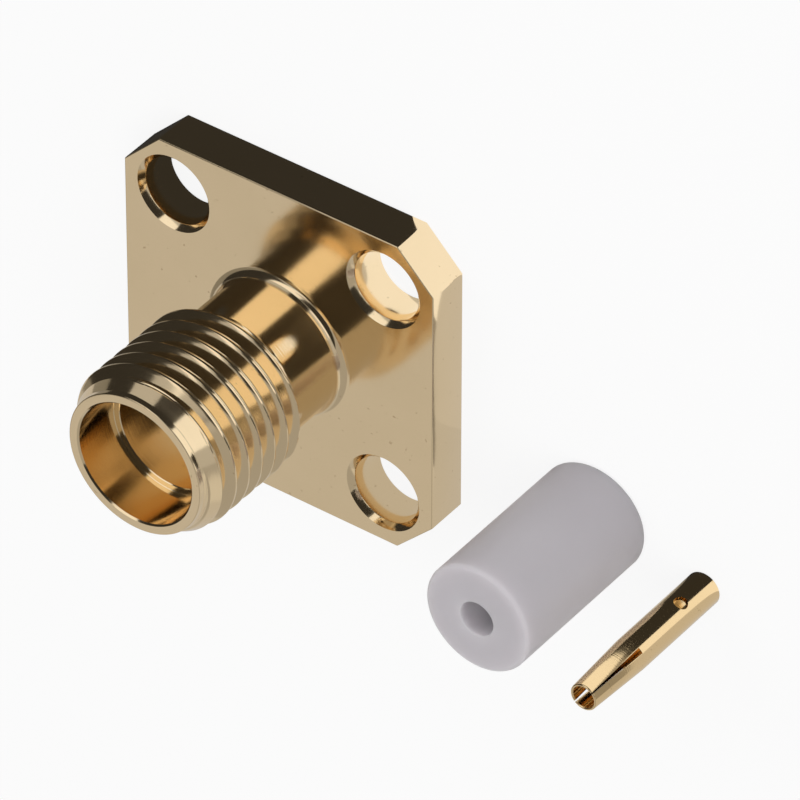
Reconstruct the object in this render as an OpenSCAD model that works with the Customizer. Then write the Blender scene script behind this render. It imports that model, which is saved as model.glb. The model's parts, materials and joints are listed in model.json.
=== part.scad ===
// Four-hole flange-mount coaxial jack, as a kit of three loose pieces: the turned and milled
// body, the PTFE insulator and the slotted socket contact. Millimetres.
// The origin lies on the barrel's axis at the rear, mounting face of the flange, and +Z runs
// out along the barrel. The insulator and the contact stand on their ends beside the body.

/* [Flange] */
// Width and height of the square flange
flange_w = 12.7; // [11:0.05:16]
// Thickness of the flange
flange_t = 1.65; // [1.2:0.05:2.4]
// Leg of the 45 degree cut across each corner
corner_cut = 1.45; // [0.4:0.05:1.8]
// Distance from the middle of a mounting hole to the flange's two nearest sides
hole_edge = 2.03; // [1.9:0.01:2.6]
// Diameter of the mounting holes
hole_d = 2.6; // [1.8:0.05:2.7]
// Depth of the countersink on the front of each mounting hole
hole_sink = 0.2; // [0.05:0.05:0.3]

/* [Barrel] */
// Height from the mounting face to the front rim
body_l = 9.525; // [8.6:0.025:14]
// Diameter of the smooth neck behind the thread
neck_d = 5.2; // [4.9:0.05:5.4]
// Length of the neck, from the flange to the thread's shoulder
neck_l = 3.05; // [1:0.05:3.6]
// Radius of the fillet between the neck and the flange
neck_fillet = 0.35; // [0.1:0.05:0.5]
// Major diameter of the thread, 1/4 inch
thread_d = 6.35; // [6.2:0.05:7]
// Pitch of the thread, 36 turns to the inch
thread_pitch = 0.7056; // [0.6:0.0001:0.8]
// Angle round the axis at which the thread's crest meets its shoulder
thread_phase = 29; // [0:1:359]
// Diameter of the plain pilot ahead of the thread
pilot_d = 5.4; // [5.3:0.05:5.6]
// Length of the pilot
pilot_l = 0.22; // [0.1:0.02:0.5]
// Bevel on the pilot's outer edge
pilot_bevel = 0.04; // [0.02:0.01:0.1]
// Diameter of the front socket that takes the mating plug's shell
socket_d = 4.64; // [4.5:0.02:4.8]
// Depth of the front socket, down to the reference plane
socket_l = 1.9; // [1.4:0.05:2.4]
// Bevel on the socket's mouth
socket_bevel = 0.06; // [0.02:0.01:0.12]
// Diameter of the bore that holds the insulator
bore_d = 4.15; // [3.8:0.01:4.3]
// Bevel on the bore's rear edge
bore_bevel = 0.1; // [0.05:0.05:0.3]

/* [Insulator] */
// Length of the insulator
insulator_l = 6.65; // [4:0.05:7.2]
// How much smaller than its bore the insulator is, across
insulator_clearance = 0.03; // [0:0.01:0.1]
// Rounding of the insulator's edges
insulator_round = 0.15; // [0.05:0.01:0.3]

/* [Contact] */
// Diameter of the contact
contact_d = 1.27; // [1.1:0.01:1.4]
// Length of the contact
contact_l = 6.85; // [6:0.05:9]
// Bevel on the contact's rear edge
contact_bevel = 0.04; // [0.01:0.01:0.1]
// Clearance across, between the contact and the insulator's hole
contact_clearance = 0.04; // [0.02:0.01:0.1]
// Outside diameter of the closed-in tips
tip_d = 1.02; // [0.96:0.01:1.05]
// Diameter of the socket inside, behind the closed-in tips
pin_hole_d = 0.94; // [0.8:0.01:0.98]
// Diameter of the mouth between the closed-in tips
mouth_d = 0.82; // [0.74:0.01:0.86]
// Depth of the socket
pin_hole_l = 2.95; // [2.8:0.05:3.4]
// Length of the two slots, from the tips
slot_l = 2.6; // [2:0.05:2.75]
// Width of each slot at its inner end
slot_w = 0.22; // [0.12:0.01:0.3]
// Width that is left of each slot between the closed-in tips
slot_tip_w = 0.05; // [0.03:0.01:0.1]
// Angle of the slots round the contact
slot_angle = 45; // [0:5:175]
// Diameter of the wire hole at the rear
wire_hole_d = 0.95; // [0.7:0.01:1]
// Depth of the wire hole
wire_hole_l = 2.3; // [2:0.05:2.7]
// Diameter of the solder inspection hole
solder_hole_d = 0.5; // [0.3:0.02:0.6]
// Height of the solder inspection hole above the rear end
solder_hole_z = 1.65; // [1.2:0.05:1.7]
// Angle of the solder inspection hole round the contact
solder_hole_angle = 70; // [0:5:355]

/* [Layout] */
// Gap between the flange's side and the insulator
insulator_gap = 3.37; // [0.5:0.01:10]
// Gap along X between the insulator and the contact
contact_gap = 1.725; // [0.5:0.005:10]
// Distance of the insulator in front of the body's axis
insulator_forward = 2.68; // [-8:0.02:8]
// Distance of the contact in front of the body's axis
contact_forward = 3.65; // [-8:0.05:8]

/* [Hidden] */
$fn = 96;
// Solids that are cut away reach this far past the faces they open
past = 0.5;
gold = "#c9a25a";
ptfe = "#dcd8d8";

// Distance between neighbouring mounting holes
hole_pitch = flange_w - 2 * hole_edge;

// Heights along the barrel
shoulder_z = flange_t + neck_l;
pilot_z = body_l - pilot_l;
socket_z = body_l - socket_l;
// The lead-in rises from the pilot at 30 degrees to the axis
lead_l = (thread_d - pilot_d) / 2 / tan(30);

// Sharp 60 degree groove with an eighth of the pitch left on each crest
thread_depth = 0.6134 * thread_pitch;
crest_w = thread_pitch / 8;
root_r = thread_d / 2 - thread_depth;
root_w = thread_pitch - crest_w - 2 * thread_depth * tan(30);
groove_steps = 30;
groove_turns = ceil((body_l - shoulder_z) / thread_pitch) + 1;

insulator_d = bore_d - insulator_clearance;
insulator_hole_d = contact_d + contact_clearance;
slot_z = contact_l - slot_l;

// Where the loose pieces stand
insulator_x = flange_w / 2 + insulator_gap + insulator_d / 2;
contact_x = insulator_x + insulator_d / 2 + contact_gap + contact_d / 2;

// Points of a concave quarter arc, from the flange in to the neck
function fillet_points(r, neck, base, steps = 6) =
    [for (i = [0:steps]) let (a = 270 - 90 * i / steps) [neck + r + r * cos(a), base + r + r * sin(a)]];

// Points of a convex quarter arc with its centre at [x, z], starting at angle from
function round_points(r, x, z, from, steps = 4) =
    [for (i = [0:steps]) let (a = from + 90 * i / steps) [x + r * cos(a), z + r * sin(a)]];

// A square with its corners cut at 45 degrees
module cut_square(w, cut) {
    h = w / 2;
    k = h - cut;
    polygon([[h, -k], [h, k], [k, h], [-k, h], [-h, k], [-h, -k], [-k, -h], [k, -h]]);
}

// The four mounting places
module at_holes() {
    for (x = [-1, 1], y = [-1, 1]) translate([x * hole_pitch / 2, y * hole_pitch / 2, 0]) children();
}

// A mounting hole with its countersink
module mounting_hole() {
    translate([0, 0, -past]) cylinder(d = hole_d, h = flange_t + 2 * past);
    translate([0, 0, flange_t - hole_sink])
        cylinder(d1 = hole_d, d2 = hole_d + 2 * (hole_sink + past), h = hole_sink + past);
}

// Outside of the barrel as turned, before its thread is cut
module barrel_blank() {
    rotate_extrude() polygon(concat(
        [[0, flange_t - past], [neck_d / 2 + neck_fillet, flange_t - past]],
        fillet_points(neck_fillet, neck_d / 2, flange_t),
        [
            [neck_d / 2, shoulder_z - (thread_d - neck_d) / 2],
            [thread_d / 2, shoulder_z],
            [thread_d / 2, pilot_z - lead_l],
            [pilot_d / 2, pilot_z],
            [pilot_d / 2, body_l - pilot_bevel],
            [pilot_d / 2 - pilot_bevel, body_l],
            [0, body_l]
        ]));
}

// One section of the thread's groove, as [x, y, z] at a turn counted from the thread's start
function groove_section(turn) =
    let (
        a = 360 * turn + thread_phase + 180,
        z = shoulder_z - thread_pitch + thread_pitch * turn,
        out = past / 2,
        outer_w = root_w + 2 * (thread_depth + out) * tan(30)
    )
    [for (p = [[root_r, -root_w / 2], [thread_d / 2 + out, -outer_w / 2],
               [thread_d / 2 + out, outer_w / 2], [root_r, root_w / 2]])
        [p[0] * cos(a), p[0] * sin(a), z + p[1]]];

// The groove: its section swept along a right-hand helix
module thread_groove() {
    n = groove_steps * groove_turns;
    points = [for (i = [0:n]) each groove_section(i / groove_steps)];
    sides = [for (i = [0:n - 1], k = [0:3]) let (a = 4 * i + k, b = 4 * i + (k + 1) % 4)
        each [[a, a + 4, b], [b, a + 4, b + 4]]];
    polyhedron(points, concat([[3, 2, 1, 0]], sides, [[4 * n, 4 * n + 1, 4 * n + 2, 4 * n + 3]]));
}

// Through bore, front socket and their bevels
module barrel_bore() {
    translate([0, 0, -past]) cylinder(d = bore_d, h = body_l + 2 * past);
    translate([0, 0, socket_z]) cylinder(d = socket_d, h = socket_l + past);
    translate([0, 0, body_l - socket_bevel])
        cylinder(d1 = socket_d, d2 = socket_d + 2 * (socket_bevel + past), h = socket_bevel + past);
    translate([0, 0, -past])
        cylinder(d1 = bore_d + 2 * (bore_bevel + past), d2 = bore_d, h = bore_bevel + past);
}

// The connector body: flange and barrel are one piece of plated brass
module body() {
    color(gold) difference() {
        union() {
            linear_extrude(flange_t) cut_square(flange_w, corner_cut);
            difference() {
                barrel_blank();
                thread_groove();
            }
        }
        at_holes() mounting_hole();
        barrel_bore();
    }
}

// PTFE insulator: a plain cylinder with soft edges and a hole for the contact
module insulator() {
    r = insulator_d / 2 - insulator_round;
    color(ptfe) translate([insulator_x, -insulator_forward, 0]) difference() {
        rotate_extrude() polygon(concat(
            [[0, 0]],
            round_points(insulator_round, r, insulator_round, -90),
            round_points(insulator_round, r, insulator_l - insulator_round, 0),
            [[0, insulator_l]]));
        translate([0, 0, -past]) cylinder(d = insulator_hole_d, h = insulator_l + 2 * past);
    }
}

// Turned contact before it is slotted: a tube whose front closes in to the tips
module contact_blank() {
    wall = (tip_d - mouth_d) / 2;
    rotate_extrude() polygon(concat(
        [[wire_hole_d / 2, 0], [contact_d / 2 - contact_bevel, 0], [contact_d / 2, contact_bevel],
         [contact_d / 2, slot_z]],
        round_points(wall / 2, tip_d / 2 - wall / 2, contact_l - wall / 2, 0),
        round_points(wall / 2, mouth_d / 2 + wall / 2, contact_l - wall / 2, 90),
        [[pin_hole_d / 2, slot_z], [pin_hole_d / 2, contact_l - pin_hole_l], [0, contact_l - pin_hole_l],
         [0, wire_hole_l], [wire_hole_d / 2, wire_hole_l]]));
}

// The two slots, one cut right across: wide at the root and closed in to a hair at the tips
module contact_slots() {
    narrowing = (slot_w - slot_tip_w) / slot_l;
    rotate([90, 0, slot_angle + 90]) linear_extrude(contact_d + 2 * past, center = true)
        polygon([
            [-slot_w / 2, slot_z], [slot_w / 2, slot_z],
            [slot_tip_w / 2 - narrowing * past, contact_l + past],
            [-slot_tip_w / 2 + narrowing * past, contact_l + past]
        ]);
}

// Socket contact: slotted front, wire hole at the rear and a solder inspection hole
module contact() {
    color(gold) translate([contact_x, -contact_forward, 0]) difference() {
        contact_blank();
        contact_slots();
        rotate([0, 90, solder_hole_angle]) translate([-solder_hole_z, 0, 0])
            cylinder(d = solder_hole_d, h = contact_d / 2 + past);
    }
}

body();
insulator();
contact();
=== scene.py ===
import json
import math

import bmesh
import bpy
from mathutils import Matrix, Vector


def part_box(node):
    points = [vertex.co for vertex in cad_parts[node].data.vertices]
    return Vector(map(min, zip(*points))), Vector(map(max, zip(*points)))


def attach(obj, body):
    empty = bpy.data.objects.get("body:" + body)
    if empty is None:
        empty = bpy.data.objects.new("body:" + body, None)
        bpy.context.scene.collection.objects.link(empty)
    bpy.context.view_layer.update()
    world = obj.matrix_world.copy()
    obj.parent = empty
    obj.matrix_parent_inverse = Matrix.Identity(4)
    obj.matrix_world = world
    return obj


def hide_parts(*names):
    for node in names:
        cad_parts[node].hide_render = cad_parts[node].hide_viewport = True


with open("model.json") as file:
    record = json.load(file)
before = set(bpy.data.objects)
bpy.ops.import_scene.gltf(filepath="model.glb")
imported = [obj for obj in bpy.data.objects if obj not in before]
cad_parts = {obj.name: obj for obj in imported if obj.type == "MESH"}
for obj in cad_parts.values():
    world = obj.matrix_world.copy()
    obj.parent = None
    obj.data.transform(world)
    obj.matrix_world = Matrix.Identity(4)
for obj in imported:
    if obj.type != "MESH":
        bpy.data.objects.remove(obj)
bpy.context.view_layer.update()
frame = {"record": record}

MOUNTS = {mount["name"]: mount for mount in frame["record"]["mounts"]}
METRES = 0.001  # the pieces' sizes are in millimetres, and each mesh is scaled to metres when it is done
CLOSE = 1e-4  # millimetres within which points count as one, or as level
SLIVER = 1e-5  # millimetres under which an edge or face is dropped
SHARP_ABOVE = 32  # degrees


def node_box(node):
    """Lowest and highest corner of a node in the frame, in millimetres."""
    low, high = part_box(node)
    return Vector(low) / METRES, Vector(high) / METRES


def mount_size(mount, size):
    return MOUNTS[mount]["dims"][size]


# ---------------------------------------------------------------- sizes of the body
BODY_LOW, BODY_HIGH = node_box("body")
FLANGE_WIDTH = BODY_HIGH.x - BODY_LOW.x
FLANGE_THICKNESS = 1.65
CORNER_CUT = 1.45
FLANGE_EDGE_ROUND = 0.035
HOLE_PITCH = mount_size("flange_holes", "spacing_x_mm")
HOLE_RADIUS = mount_size("flange_holes", "hole_r_mm")
HOLE_SINK = 0.2
SINK_EDGE_OUT = 0.012  # slight round where the countersink meets the hole's wall
SINK_EDGE_DOWN = 0.017
HOLE_REAR_BEVEL = 0.05

BARREL_TOP = BODY_HIGH.z
NECK_RADIUS = 2.6
NECK_FILLET = 0.35
SHOULDER_HEIGHT = 4.7
THREAD_RADIUS = 3.175
THREAD_PITCH = 0.7056
THREAD_PHASE = math.radians(29)
THREAD_DEPTH = 0.6134 * THREAD_PITCH  # of the outside thread's standard form
CREST_WIDTH = THREAD_PITCH / 8
CREST_ROUND = 0.016
CREST_EDGE = (0.3, 0.1)  # middle of the crest's round: in and back, as shares of CREST_ROUND
FLANK_POINTS = (0.09, 0.2, 0.32, 0.44, 0.56, 0.68, 0.8, 0.9)  # shares of the thread's depth
ROOT_ROUND = ((0.2, 0.05), (0.03, 0.5))  # out and up, as shares of half the root's width
PILOT_RADIUS = 2.7
PILOT_LENGTH = 0.22
SOCKET_RADIUS = mount_size("front_socket", "r_mm")
SOCKET_LENGTH = 1.9
SOCKET_BEVEL = 0.06
SOCKET_FLOOR_ROUND = 0.02
RIM_ROUND = 0.04
STEP_BEVEL = 0.03
BORE_RADIUS = mount_size("insulator_bore", "r_mm")
BORE_BEVEL = 0.1

TURNING_STEPS = 144  # round the barrel and the insulator
HOLE_STEPS = 96  # round each screw hole
CONTACT_STEPS = 96
SOLDER_HOLE_STEPS = 48
EDGE_STEPS = 8  # in a broad rounded edge
FINE_EDGE_STEPS = 4
PILOT_HEIGHT = BARREL_TOP - PILOT_LENGTH
SOCKET_HEIGHT = BARREL_TOP - SOCKET_LENGTH
FLANK_SLOPE = math.tan(math.radians(30))
LEAD_SLOPE = math.tan(math.radians(30))
NECK_OVERLAP = 0.2  # how far the thread's mesh runs on down the neck
PILOT_OVERLAP = 0.03
THREAD_FOOT = SHOULDER_HEIGHT - (THREAD_RADIUS - NECK_RADIUS) - NECK_OVERLAP
THREAD_HEAD = PILOT_HEIGHT + PILOT_OVERLAP

# ---------------------------------------------------------------- sizes of the loose pieces
INSULATOR_LOW, INSULATOR_HIGH = node_box("insulator")
INSULATOR_RADIUS = (INSULATOR_HIGH.x - INSULATOR_LOW.x) / 2
INSULATOR_LENGTH = INSULATOR_HIGH.z
INSULATOR_HOLE_RADIUS = mount_size("insulator_hole", "r_mm")
INSULATOR_ROUND = 0.15
INSULATOR_HOLE_ROUND = 0.04
INSULATOR_RINGS = 6
INSULATOR_SEAM = 0.7  # where its outline opens and closes, as a share of the flat end's radius
INSULATOR_CENTRE = ((INSULATOR_LOW + INSULATOR_HIGH) / 2).xy

CONTACT_LOW, CONTACT_HIGH = node_box("contact")
CONTACT_RADIUS = (CONTACT_HIGH.x - CONTACT_LOW.x) / 2
CONTACT_LENGTH = CONTACT_HIGH.z
TIP_RADIUS = 0.51
MOUTH_RADIUS = 0.41
PIN_HOLE_RADIUS = 0.47
PIN_HOLE_DEPTH = 2.95
SLOT_LENGTH = 2.6
SLOT_WIDTH = 0.22
SLOT_TIP_WIDTH = 0.05
SLOT_ANGLE = math.radians(45)
WIRE_HOLE_RADIUS = mount_size("wire_hole", "r_mm")
WIRE_HOLE_DEPTH = 2.3
SOLDER_HOLE_RADIUS = 0.25
SOLDER_HOLE_HEIGHT = 1.65
SOLDER_HOLE_ANGLE = math.radians(70)
SOLDER_CUTTER_SHORTENING = 0.1
WIRE_HOLE_BEVEL = 0.02
CONTACT_BEVEL = 0.04
STRAIGHT_BEHIND_ROOT = 0.1
TAPER_START_IN = 0.001
CONTACT_CENTRE = ((CONTACT_LOW + CONTACT_HIGH) / 2).xy


# ---------------------------------------------------------------- modelling
def arc(centre, radius, start, end, count):
    """Points along an arc, from start to end in degrees, as (radius, height) pairs."""
    turns = [math.radians(start + (end - start) * i / count) for i in range(count + 1)]
    return [(centre[0] + radius * math.cos(a), centre[1] + radius * math.sin(a)) for a in turns]


def turn(bm, outline, steps, centre=(0, 0)):
    """Turns an outline of (radius, height) points once round an upright axis at centre."""
    verts = [bm.verts.new((centre[0] + r, centre[1], z)) for r, z in outline]
    edges = [bm.edges.new(pair) for pair in zip(verts, verts[1:])]
    bmesh.ops.spin(bm, geom=verts + edges, cent=(*centre, 0), axis=(0, 0, 1), angle=2 * math.pi,
                   steps=steps, use_merge=True)


def fill_flat(bm, height):
    """Closes the open edges at one height with a flat face that keeps its round openings."""
    edges = [e for e in bm.edges if e.is_boundary and all(abs(v.co.z - height) < CLOSE for v in e.verts)]
    bmesh.ops.triangle_fill(bm, use_beauty=True, use_dissolve=False, edges=edges, normal=(0, 0, 1))


def finish_mesh(bm, name, node, material, place=(0, 0), flats=()):
    """Cleans a mesh, marks its sharp edges, brings it to metres and lets it stand for its CAD node."""
    bmesh.ops.remove_doubles(bm, verts=bm.verts, dist=CLOSE)
    bmesh.ops.dissolve_degenerate(bm, edges=bm.edges, dist=SLIVER)
    bmesh.ops.recalc_face_normals(bm, faces=bm.faces)
    for face in bm.faces:
        face.smooth = True
        face.tag = any(all(abs(v.co.z - height) < CLOSE for v in face.verts) for height in flats)
    for edge in bm.edges:
        beside_flat = len({face.tag for face in edge.link_faces}) > 1
        edge.smooth = not beside_flat and edge.calc_face_angle(0) < math.radians(SHARP_ABOVE)
    bmesh.ops.translate(bm, verts=bm.verts, vec=(*place, 0))
    bmesh.ops.scale(bm, verts=bm.verts, vec=(METRES,) * 3)
    mesh = bpy.data.meshes.new(name)
    bm.to_mesh(mesh)
    bm.free()
    piece = bpy.data.objects.new(name, mesh)
    bpy.context.scene.collection.objects.link(piece)
    mesh.materials.append(material)
    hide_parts(node)
    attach(piece, "root")
    return piece


# ---------------------------------------------------------------- body
def flange_shell(bm):
    """Edges of the cut square flange, with every edge slightly rounded and both broad faces open."""
    half = FLANGE_WIDTH / 2
    cut = half - CORNER_CUT
    corners = [(half, -cut), (half, cut), (cut, half), (-cut, half),
               (-half, cut), (-half, -cut), (-cut, -half), (cut, -half)]
    base = bm.faces.new([bm.verts.new((x, y, 0)) for x, y in corners])
    raised = bmesh.ops.extrude_face_region(bm, geom=[base])["geom"]
    bmesh.ops.translate(bm, verts=[g for g in raised if isinstance(g, bmesh.types.BMVert)],
                        vec=(0, 0, FLANGE_THICKNESS))
    bmesh.ops.recalc_face_normals(bm, faces=bm.faces)
    bmesh.ops.bevel(bm, geom=bm.edges[:], offset=FLANGE_EDGE_ROUND, offset_type="OFFSET", affect="EDGES",
                    segments=3, profile=0.5, material=-1)
    broad = sorted(bm.faces, key=lambda face: face.calc_area())[-2:]
    bmesh.ops.delete(bm, geom=broad, context="FACES_ONLY")


def mounting_hole(bm, x, y):
    """Wall of one screw hole, with its countersink in front and a light bevel behind."""
    turn(bm, [
        (HOLE_RADIUS + HOLE_SINK, FLANGE_THICKNESS),
        (HOLE_RADIUS + SINK_EDGE_OUT, FLANGE_THICKNESS - HOLE_SINK + SINK_EDGE_OUT),
        (HOLE_RADIUS, FLANGE_THICKNESS - HOLE_SINK - SINK_EDGE_DOWN),
        (HOLE_RADIUS, HOLE_REAR_BEVEL),
        (HOLE_RADIUS + HOLE_REAR_BEVEL, 0),
    ], HOLE_STEPS, (x, y))


def blank_radius(z):
    """Radius of the barrel as turned, before its thread is cut."""
    behind = max(NECK_RADIUS, THREAD_RADIUS - (SHOULDER_HEIGHT - z))
    ahead = PILOT_RADIUS + max(0, PILOT_HEIGHT - z) * LEAD_SLOPE
    return min(THREAD_RADIUS, behind, ahead)


def thread_outline():
    """One pitch of the thread, from the middle of a crest to the next, as (radius, rise) pairs."""
    half_crest = CREST_WIDTH / 2
    root = THREAD_RADIUS - THREAD_DEPTH
    root_start = half_crest + THREAD_DEPTH * FLANK_SLOPE
    half_root = THREAD_PITCH / 2 - root_start
    flank = [(THREAD_RADIUS - THREAD_DEPTH * t, half_crest + (root_start - half_crest) * t)
             for t in FLANK_POINTS]
    near = [(THREAD_RADIUS, 0), (THREAD_RADIUS, half_crest - CREST_ROUND),
            (THREAD_RADIUS - CREST_ROUND * CREST_EDGE[0], half_crest - CREST_ROUND * CREST_EDGE[1])]
    near += flank + [(root + half_root * out, root_start + half_root * up) for out, up in ROOT_ROUND]
    return near + [(root, THREAD_PITCH / 2)] + [(r, THREAD_PITCH - z) for r, z in reversed(near)]


def thread_turn():
    """One turn of the thread: its outline swept once round and one pitch up, right-handed."""
    bm = bmesh.new()
    verts = [bm.verts.new((r * math.cos(THREAD_PHASE), r * math.sin(THREAD_PHASE), z))
             for r, z in thread_outline()]
    edges = [bm.edges.new(pair) for pair in zip(verts, verts[1:])]
    bmesh.ops.spin(bm, geom=verts + edges, cent=(0, 0, 0), axis=(0, 0, 1),
                   dvec=(0, 0, THREAD_PITCH / TURNING_STEPS), angle=2 * math.pi,
                   steps=TURNING_STEPS, use_merge=False)
    mesh = bpy.data.meshes.new("turn")
    bm.to_mesh(mesh)
    bm.free()
    return mesh


def thread(bm):
    """The thread: its turns stacked up the barrel and held inside the turned blank."""
    others = set(bm.verts)
    turn_mesh = thread_turn()
    turn_mesh.transform(Matrix.Translation((0, 0, SHOULDER_HEIGHT)))
    first = math.floor((THREAD_FOOT - SHOULDER_HEIGHT) / THREAD_PITCH) - 1
    last = math.ceil((THREAD_HEAD - SHOULDER_HEIGHT) / THREAD_PITCH)
    turn_mesh.transform(Matrix.Translation((0, 0, first * THREAD_PITCH)))
    for _ in range(first, last + 1):
        bm.from_mesh(turn_mesh)
        turn_mesh.transform(Matrix.Translation((0, 0, THREAD_PITCH)))
    for vert in set(bm.verts) - others:
        z = min(max(vert.co.z, THREAD_FOOT), THREAD_HEAD)
        radius = vert.co.xy.length
        vert.co.xy *= min(radius, blank_radius(z)) / radius
        vert.co.z = z


def barrel_outside(bm):
    """Fillet and neck behind the thread."""
    turn(bm, arc((NECK_RADIUS + NECK_FILLET, FLANGE_THICKNESS + NECK_FILLET), NECK_FILLET, 270, 180,
                 EDGE_STEPS)
         + [(NECK_RADIUS, THREAD_FOOT)], TURNING_STEPS)


def barrel_inside(bm):
    """Pilot, rim, front socket, its step and the bore down to the rear face."""
    mouth = SOCKET_RADIUS + SOCKET_BEVEL
    turn(bm, [(PILOT_RADIUS, THREAD_HEAD)]
         + arc((PILOT_RADIUS - RIM_ROUND, BARREL_TOP - RIM_ROUND), RIM_ROUND, 0, 90, FINE_EDGE_STEPS)
         + [(mouth, BARREL_TOP), (SOCKET_RADIUS, BARREL_TOP - SOCKET_BEVEL),
            (SOCKET_RADIUS, SOCKET_HEIGHT + SOCKET_FLOOR_ROUND),
            (SOCKET_RADIUS - SOCKET_FLOOR_ROUND, SOCKET_HEIGHT),
            (BORE_RADIUS + STEP_BEVEL, SOCKET_HEIGHT), (BORE_RADIUS, SOCKET_HEIGHT - STEP_BEVEL),
            (BORE_RADIUS, BORE_BEVEL), (BORE_RADIUS + BORE_BEVEL, 0)], TURNING_STEPS)


def make_body(material):
    bm = bmesh.new()
    flange_shell(bm)
    for x in (-1, 1):
        for y in (-1, 1):
            mounting_hole(bm, x * HOLE_PITCH / 2, y * HOLE_PITCH / 2)
    barrel_outside(bm)
    barrel_inside(bm)
    thread(bm)
    bmesh.ops.remove_doubles(bm, verts=bm.verts, dist=CLOSE)
    fill_flat(bm, FLANGE_THICKNESS)
    fill_flat(bm, 0)
    return finish_mesh(bm, "connector_body", "body", material, flats=(0, FLANGE_THICKNESS))


# ---------------------------------------------------------------- loose pieces
def make_insulator(material):
    """The PTFE sleeve: a cylinder with soft edges and a hole through it."""
    outer = INSULATOR_RADIUS - INSULATOR_ROUND
    inner = INSULATOR_HOLE_RADIUS + INSULATOR_HOLE_ROUND
    seam = outer * INSULATOR_SEAM
    bm = bmesh.new()
    turn(bm, [(seam, 0)]
         + arc((outer, INSULATOR_ROUND), INSULATOR_ROUND, -90, 0, EDGE_STEPS)
         + [(INSULATOR_RADIUS, INSULATOR_LENGTH * i / INSULATOR_RINGS) for i in range(1, INSULATOR_RINGS)]
         + arc((outer, INSULATOR_LENGTH - INSULATOR_ROUND), INSULATOR_ROUND, 0, 90, EDGE_STEPS)
         + [(seam, INSULATOR_LENGTH)]
         + arc((inner, INSULATOR_LENGTH - INSULATOR_HOLE_ROUND), INSULATOR_HOLE_ROUND, 90, 180,
               FINE_EDGE_STEPS)
         + arc((inner, INSULATOR_HOLE_ROUND), INSULATOR_HOLE_ROUND, 180, 270, FINE_EDGE_STEPS)
         + [(seam, 0)], TURNING_STEPS)
    return finish_mesh(bm, "insulator_sleeve", "insulator", material, INSULATOR_CENTRE)


def cutter(build):
    """A closed solid that is only used to cut with."""
    bm = bmesh.new()
    build(bm)
    bmesh.ops.recalc_face_normals(bm, faces=bm.faces)
    mesh = bpy.data.meshes.new("cutter")
    bm.to_mesh(mesh)
    bm.free()
    tool = bpy.data.objects.new("cutter", mesh)
    bpy.context.scene.collection.objects.link(tool)
    return tool


def cut(bm, tools):
    """Cuts each tool out of the mesh and throws the tools away."""
    mesh = bpy.data.meshes.new("blank")
    bm.to_mesh(mesh)
    blank = bpy.data.objects.new("blank", mesh)
    bpy.context.scene.collection.objects.link(blank)
    for tool in tools:
        step = blank.modifiers.new("cut", "BOOLEAN")
        step.operation = "DIFFERENCE"
        step.solver = "EXACT"
        step.object = tool
    shaped = blank.evaluated_get(bpy.context.evaluated_depsgraph_get()).to_mesh()
    bm.clear()
    bm.from_mesh(shaped)
    for spent in [blank, *tools]:
        bpy.data.objects.remove(spent)


def slot_cutter(bm):
    """A wedge right across the contact: wide at the slots' root and closed in to a hair at the tips."""
    root = CONTACT_LENGTH - SLOT_LENGTH
    narrowing = (SLOT_WIDTH - SLOT_TIP_WIDTH) / 2 / SLOT_LENGTH
    past = 0.2
    tip = SLOT_TIP_WIDTH / 2 - narrowing * past
    profile = [(-SLOT_WIDTH / 2, root), (SLOT_WIDTH / 2, root),
               (tip, CONTACT_LENGTH + past), (-tip, CONTACT_LENGTH + past)]
    base = bm.faces.new([bm.verts.new((-2 * CONTACT_RADIUS, y, z)) for y, z in profile])
    moved = bmesh.ops.extrude_face_region(bm, geom=[base])["geom"]
    bmesh.ops.translate(bm, verts=[g for g in moved if isinstance(g, bmesh.types.BMVert)],
                        vec=(4 * CONTACT_RADIUS, 0, 0))
    bmesh.ops.rotate(bm, verts=bm.verts, cent=(0, 0, 0), matrix=Matrix.Rotation(SLOT_ANGLE, 3, "Z"))


def solder_hole_cutter(bm):
    turned = Matrix.Rotation(SOLDER_HOLE_ANGLE, 4, "Z") @ Matrix.Translation(
        (CONTACT_RADIUS, 0, SOLDER_HOLE_HEIGHT)) @ Matrix.Rotation(math.pi / 2, 4, "Y")
    bmesh.ops.create_cone(bm, cap_ends=True, segments=SOLDER_HOLE_STEPS,
                          radius1=SOLDER_HOLE_RADIUS, radius2=SOLDER_HOLE_RADIUS,
                          depth=2 * CONTACT_RADIUS - SOLDER_CUTTER_SHORTENING, matrix=turned)


def make_contact(material):
    """The socket contact: a turned tube with closed-in, slotted tips and a hole for the solder."""
    root = CONTACT_LENGTH - SLOT_LENGTH
    wall = (TIP_RADIUS - MOUTH_RADIUS) / 2
    middle = (TIP_RADIUS + MOUTH_RADIUS) / 2
    floor = CONTACT_LENGTH - PIN_HOLE_DEPTH
    bm = bmesh.new()
    turn(bm, [(0, WIRE_HOLE_DEPTH), (WIRE_HOLE_RADIUS, WIRE_HOLE_DEPTH),
              (WIRE_HOLE_RADIUS, WIRE_HOLE_BEVEL), (WIRE_HOLE_RADIUS + WIRE_HOLE_BEVEL, 0)]
         + arc((CONTACT_RADIUS - CONTACT_BEVEL, CONTACT_BEVEL), CONTACT_BEVEL, -90, 0, FINE_EDGE_STEPS)
         + [(CONTACT_RADIUS, root - STRAIGHT_BEHIND_ROOT), (CONTACT_RADIUS - TAPER_START_IN, root)]
         + arc((middle, CONTACT_LENGTH - wall), wall, 0, 180, EDGE_STEPS)
         + [(PIN_HOLE_RADIUS, root), (PIN_HOLE_RADIUS, floor), (0, floor)], CONTACT_STEPS)
    bmesh.ops.remove_doubles(bm, verts=bm.verts, dist=CLOSE)
    bmesh.ops.recalc_face_normals(bm, faces=bm.faces)
    cut(bm, [cutter(slot_cutter), cutter(solder_hole_cutter)])
    return finish_mesh(bm, "socket_contact", "contact", material, CONTACT_CENTRE)


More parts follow.
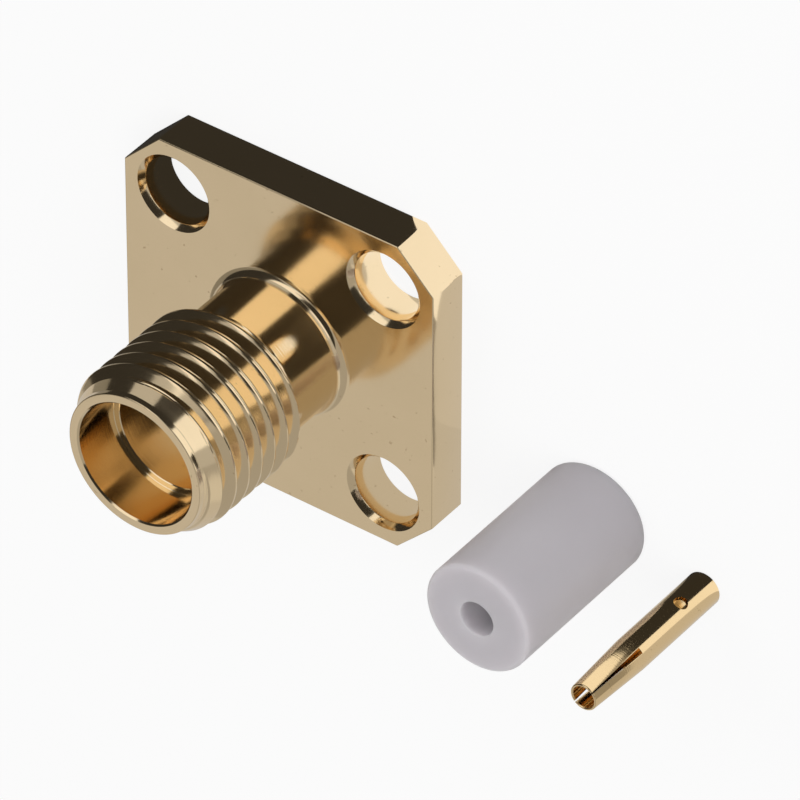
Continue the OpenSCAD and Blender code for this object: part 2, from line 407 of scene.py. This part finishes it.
# ---------------------------------------------------------------- materials
BODY_GOLD = (0.95, 0.755, 0.49)
CONTACT_GOLD = (0.95, 0.71, 0.40)
DULLER = (0.93, 0.93, 0.9)  # what the gold's colour is multiplied by where its polish is cloudy
PIT_COLOUR = (0.35, 0.22, 0.09)
PIT_SHADE = 0.35
PIT_STOPS = [(0.0, (1, 1, 1)), (0.27, (1, 1, 1)), (0.3, (0, 0, 0))]
TOOL_LINES = 14000.0  # scales of the patterns, to the metre
CLOUDS = 420.0
GRAIN = 5200.0
RELIEF_DEPTH = 1.1e-6  # metres
GRAIN_RELIEF = 0.25
PIT_RELIEF = 0.35
LINED_RING = (0.0042, 0.0046)  # metres from the axis over which the tool lines fade
FACE_LINES = 0.12  # how strong the lines are outside that ring
GOLD_ROUGHNESS = 0.075
CLOUD_ROUGHNESS = 0.07
LINE_ROUGHNESS = 0.03

PTFE_PALE = (0.56, 0.535, 0.56)
PTFE_DARKER = (0.51, 0.485, 0.51)
PTFE_CLOUDS = 260.0
PTFE_MARKS = 2600.0
PTFE_MARK_RELIEF = 0.3
PTFE_RELIEF_DEPTH = 8e-6  # metres
PTFE_ROUGHNESS = 0.42
PTFE_MARK_ROUGHNESS = 0.12
PTFE_LIGHT_DEPTH = 0.0012  # metres that light gets into it


class Wire:
    """An output of a shader node. Arithmetic with wires and numbers adds Math nodes."""

    def __init__(self, finish, socket):
        self.finish = finish
        self.socket = socket

    def maths(self, operation, *values):
        return self.finish.node("Math", {"operation": operation}, dict(enumerate(values)))

    def __add__(self, other):
        return self.maths("ADD", self, other)

    def __sub__(self, other):
        return self.maths("SUBTRACT", self, other)

    def __rsub__(self, other):
        return self.maths("SUBTRACT", other, self)

    def __mul__(self, other):
        return self.maths("MULTIPLY", self, other)

    __radd__ = __add__
    __rmul__ = __mul__


class Finish:
    """A material. Every node in it but its output comes from node()."""

    def __init__(self, name):
        self.material = bpy.data.materials.new(name)
        self.material.use_nodes = True
        self.tree = self.material.node_tree
        self.tree.nodes.clear()

    def node(self, kind, settings, inputs, output=0):
        """Adds a node: its settings first, then the values or wires of its inputs."""
        made = self.tree.nodes.new("ShaderNode" + kind)
        for name, value in settings.items():
            if name == "stops":
                for place, colour in value[2:]:
                    made.color_ramp.elements.new(place)
                for element, (place, colour) in zip(made.color_ramp.elements, value):
                    element.position = place
                    element.color = (*colour, 1)
            else:
                setattr(made, name, value)
        for name, value in inputs.items():
            if isinstance(value, Wire):
                self.tree.links.new(value.socket, made.inputs[name])
            else:
                made.inputs[name].default_value = value
        return Wire(self, made.outputs[output])

    def blend(self, share, first, second):
        """Mixes two colours, each a wire or three numbers."""
        colours = [c if isinstance(c, Wire) else (*c, 1) for c in (first, second)]
        return self.node("Mix", {"data_type": "RGBA"}, {"Factor": share, 6: colours[0], 7: colours[1]}, 2)

    def surface(self, **inputs):
        shader = self.node("BsdfPrincipled", {}, {name.replace("_", " "): v for name, v in inputs.items()})
        self.node_output(shader)

    def node_output(self, shader):
        end = self.tree.nodes.new("ShaderNodeOutputMaterial")
        self.tree.links.new(shader.socket, end.inputs["Surface"])


def gold_finish(name, colour, centre=(0, 0)):
    """Gold plate on turned brass: fine tool lines round one axis, cloudy polish and a few small pits."""
    finish = Finish(name)
    here = finish.node("TexCoord", {}, {}, "Object")
    moved = finish.node("Mapping", {}, {"Vector": here, "Location": (-centre[0], -centre[1], 0)})
    flat = finish.node("VectorMath", {"operation": "MULTIPLY"}, {0: moved, 1: (1, 1, 0)})
    radius = finish.node("VectorMath", {"operation": "LENGTH"}, {0: flat}, "Value")
    height = finish.node("SeparateXYZ", {}, {"Vector": moved}, "Z")
    tool_lines = finish.node("TexNoise", {"noise_dimensions": "1D"},
                             {"W": radius + height, "Scale": TOOL_LINES, "Detail": 3.0})
    clouds = finish.node("TexNoise", {}, {"Vector": here, "Scale": CLOUDS, "Detail": 4.0})
    grain = finish.node("TexNoise", {}, {"Vector": here, "Scale": GRAIN, "Detail": 3.0})
    pits = finish.node("ValToRGB", {"stops": PIT_STOPS}, {"Fac": grain})
    lined = finish.node("MapRange", {"interpolation_type": "SMOOTHSTEP"},
                        {"Value": radius, "From Min": LINED_RING[0], "From Max": LINED_RING[1],
                         "To Min": 1.0, "To Max": FACE_LINES})
    relief = tool_lines * lined + grain * GRAIN_RELIEF - pits * PIT_RELIEF
    bump = finish.node("Bump", {}, {"Height": relief, "Strength": 1.0, "Distance": RELIEF_DEPTH})
    duller = [part * share for part, share in zip(colour, DULLER)]
    tint = finish.blend(clouds, colour, duller)
    finish.surface(Base_Color=finish.blend(pits * PIT_SHADE, tint, PIT_COLOUR), Metallic=1.0,
                   Roughness=clouds * CLOUD_ROUGHNESS + tool_lines * LINE_ROUGHNESS + GOLD_ROUGHNESS,
                   Normal=bump)
    return finish.material


def ptfe_finish():
    """Waxy white PTFE: light gets into it, and its surface is softly clouded with faint marks."""
    finish = Finish("ptfe")
    here = finish.node("TexCoord", {}, {}, "Object")
    clouds = finish.node("TexNoise", {}, {"Vector": here, "Scale": PTFE_CLOUDS, "Detail": 3.0})
    marks = finish.node("TexNoise", {}, {"Vector": here, "Scale": PTFE_MARKS, "Detail": 3.0})
    bump = finish.node("Bump", {}, {"Height": clouds + marks * PTFE_MARK_RELIEF, "Strength": 1.0,
                                    "Distance": PTFE_RELIEF_DEPTH})
    finish.surface(Base_Color=finish.blend(clouds, PTFE_PALE, PTFE_DARKER),
                   Roughness=marks * PTFE_MARK_ROUGHNESS + PTFE_ROUGHNESS, Normal=bump,
                   Subsurface_Weight=1.0, Subsurface_Radius=(1.0, 0.95, 0.95),
                   Subsurface_Scale=PTFE_LIGHT_DEPTH, Specular_IOR_Level=0.35)
    return finish.material


# ---------------------------------------------------------------- build
make_body(gold_finish("body_gold", BODY_GOLD))
make_insulator(ptfe_finish())
make_contact(gold_finish("contact_gold", CONTACT_GOLD, CONTACT_CENTRE * METRES))

# ---------------------------------------------------------------- camera
CAMERA_PLACE = Vector((154.741, 205.214, 206.006)) * METRES
CAMERA_TOWARDS = Vector((0.45924, 0.62945, 0.62681))  # from the object to the camera
CAMERA_ACROSS = Vector((0.80612, 0.00114, -0.59175))  # to the right in the view
CAMERA_LENS = 444.3
CAMERA_SENSOR = 36
CAMERA_CLIP = (0.01, 10)  # metres


def make_camera():
    towards = CAMERA_TOWARDS.normalized()
    upwards = towards.cross(CAMERA_ACROSS).normalized()
    across = upwards.cross(towards)
    data = bpy.data.cameras.new("camera")
    data.sensor_width = CAMERA_SENSOR
    data.lens = CAMERA_LENS
    data.clip_start, data.clip_end = CAMERA_CLIP
    camera = bpy.data.objects.new("camera", data)
    turned = Matrix((across, upwards, towards)).transposed()
    camera.matrix_world = Matrix.Translation(CAMERA_PLACE) @ turned.to_4x4()
    bpy.context.scene.collection.objects.link(camera)
    return camera


bpy.context.scene.camera = make_camera()

# ---------------------------------------------------------------- studio
# Sizes here are in metres. The floor lies a hair under the pieces, and the cards between it and them.
FLOOR_SIZE = 3.0
FLOOR_HEIGHT = -0.00004
FLOOR_COLOUR = (0.85, 0.85, 0.85)
FLOOR_WHITE = 0.86  # how much of the floor that the eye sees is plain white
CARD_HEIGHT = -0.00002
CARD_NEAR = (0.0005, 0.0085)  # reach of a card from the body's axis
CARD_FAR = (0.0085, 0.9)
CARD_WHOLE = (CARD_NEAR[0], CARD_FAR[1])
CONTACT_CARD = (0.0003, 0.0082)
CONTACT_CARD_HEIGHT = -0.00001
CARD_STEP = 5  # degrees
DOME_RADIUS = 0.95
DOME_STEPS = 12
WORLD_COLOUR = (0.5, 0.5, 0.5)

BLACK = (0.035, 0.033, 0.03)
GREY = (0.24, 0.235, 0.22)
SHADE = (0.32, 0.31, 0.29)
SOFT = (0.40, 0.395, 0.385)
MIDDLE = (0.56, 0.55, 0.54)
WARM = (0.60, 0.59, 0.58)
LIGHT = (0.66, 0.65, 0.63)
WHITE = (1.0, 1.0, 1.0)

# name, azimuths in degrees, reach, tone
FLOOR_CARDS = [
    ("floor_card_corner", (37, 56), CARD_NEAR, WHITE),
    ("floor_card_bright", (15, 56), CARD_FAR, WHITE),
    ("floor_card_right", (-15, 37), CARD_NEAR, WARM),
    ("floor_card_dark", (56, 164), CARD_WHOLE, BLACK),
    ("floor_card_grey", (164, 185), CARD_WHOLE, GREY),
    ("floor_card_middle", (185, 345), CARD_WHOLE, MIDDLE),
    ("floor_card_shade", (345, 375), CARD_FAR, SHADE),
]
# name, azimuths round the contact, tone
CONTACT_CARDS = [
    ("contact_card_bright", (15, 56), WHITE),
    ("contact_card_dark", (56, 164), BLACK),
    ("contact_card_grey", (164, 185), GREY),
    ("contact_card_warm", (185, 375), WARM),
]
# name, azimuths, elevations, tone
DOME_CARDS = [
    ("low_softbox", (15, 60), (13, 28), WHITE),
    ("low_dark", (60, 95), (0, 25), BLACK),
    ("camera_side", (-5, 81), (28, 78), BLACK),
    ("tall_softbox", (81, 131), (25, 52), WHITE),
    ("high_softbox", (100, 125), (52, 78), WHITE),
    ("left_dark", (131, 198), (0, 62), BLACK),
    ("left_grey", (198, 222), (10, 62), GREY),
    ("back_panel", (222, 262), (10, 62), MIDDLE),
    ("right_panel", (262, 352), (12, 72), SOFT),
    ("right_low", (300, 345), (0, 12), LIGHT),
]
# name, place, size, watts
SOFT_LIGHTS = [
    ("key", (0.25, 0.15, 0.45), 0.4, 1.25),
    ("fill", (-0.3, 0.35, 0.3), 0.4, 0.45),
]


def place_in_studio(name, bm, material):
    mesh = bpy.data.meshes.new(name)
    bm.to_mesh(mesh)
    bm.free()
    prop = bpy.data.objects.new(name, mesh)
    bpy.context.scene.collection.objects.link(prop)
    mesh.materials.append(material)
    return prop


def floor_finish():
    """Plain pale floor that is white to the eye and keeps a soft shadow."""
    finish = Finish("pale_floor")
    path = finish.node("LightPath", {}, {}, "Is Camera Ray")
    plain = finish.node("BsdfDiffuse", {}, {"Color": (*FLOOR_COLOUR, 1)})
    white = finish.node("Emission", {}, {"Color": (1, 1, 1, 1), "Strength": 1.0})
    finish.node_output(finish.node("MixShader", {}, {0: path * FLOOR_WHITE, 1: plain, 2: white}))
    return finish.material


def make_floor():
    bm = bmesh.new()
    bmesh.ops.create_grid(bm, x_segments=1, y_segments=1, size=FLOOR_SIZE / 2,
                          matrix=Matrix.Translation((0, 0, FLOOR_HEIGHT)))
    place_in_studio("floor", bm, floor_finish())


def card_finish(tone):
    finish = Finish("card")
    finish.node_output(finish.node("Emission", {}, {"Color": (*tone, 1), "Strength": 1.0}))
    return finish.material


def reflector(name, outline, azimuths, tone, centre=(0, 0)):
    """A card that only polished metal sees, spun round an upright axis between two azimuths."""
    bm = bmesh.new()
    start, end = azimuths
    turned = Matrix.Rotation(math.radians(start), 3, "Z")
    axis_foot = Vector((*centre, 0))
    verts = [bm.verts.new(axis_foot + turned @ Vector((r, 0, z))) for r, z in outline]
    edges = [bm.edges.new(pair) for pair in zip(verts, verts[1:])]
    bmesh.ops.spin(bm, geom=verts + edges, cent=axis_foot, axis=(0, 0, 1),
                   angle=math.radians(end - start), steps=max(2, round((end - start) / CARD_STEP)))
    card = place_in_studio(name, bm, card_finish(tone))
    card.visible_camera = False
    card.visible_diffuse = False
    card.visible_shadow = False
    card.visible_transmission = False


def soft_light(name, place, size, watts):
    """A round lamp aimed at the object, which polished metal doesn't see."""
    light = bpy.data.lights.new(name, "AREA")
    light.shape = "DISK"
    light.size = size
    light.energy = watts
    lamp = bpy.data.objects.new(name, light)
    lamp.location = place
    lamp.rotation_euler = Vector(place).to_track_quat("Z", "Y").to_euler()
    lamp.visible_glossy = False
    bpy.context.scene.collection.objects.link(lamp)


make_floor()
for name, azimuths, reach, tone in FLOOR_CARDS:
    reflector(name, [(r, CARD_HEIGHT) for r in reach], azimuths, tone)
# The contact stands too far from the body's axis to share the body's cards.
for name, azimuths, tone in CONTACT_CARDS:
    reflector(name, [(r, CONTACT_CARD_HEIGHT) for r in CONTACT_CARD], azimuths, tone,
              CONTACT_CENTRE * METRES)
for name, azimuths, elevations, tone in DOME_CARDS:
    reflector(name, arc((0, 0), DOME_RADIUS, *elevations, DOME_STEPS), azimuths, tone)
for lamp in SOFT_LIGHTS:
    soft_light(*lamp)

world = bpy.data.worlds.new("studio")
bpy.context.scene.world = world
world.use_nodes = True
world.node_tree.nodes["Background"].inputs["Color"].default_value = (*WORLD_COLOUR, 1)
bpy.context.scene.view_settings.view_transform = "Standard"
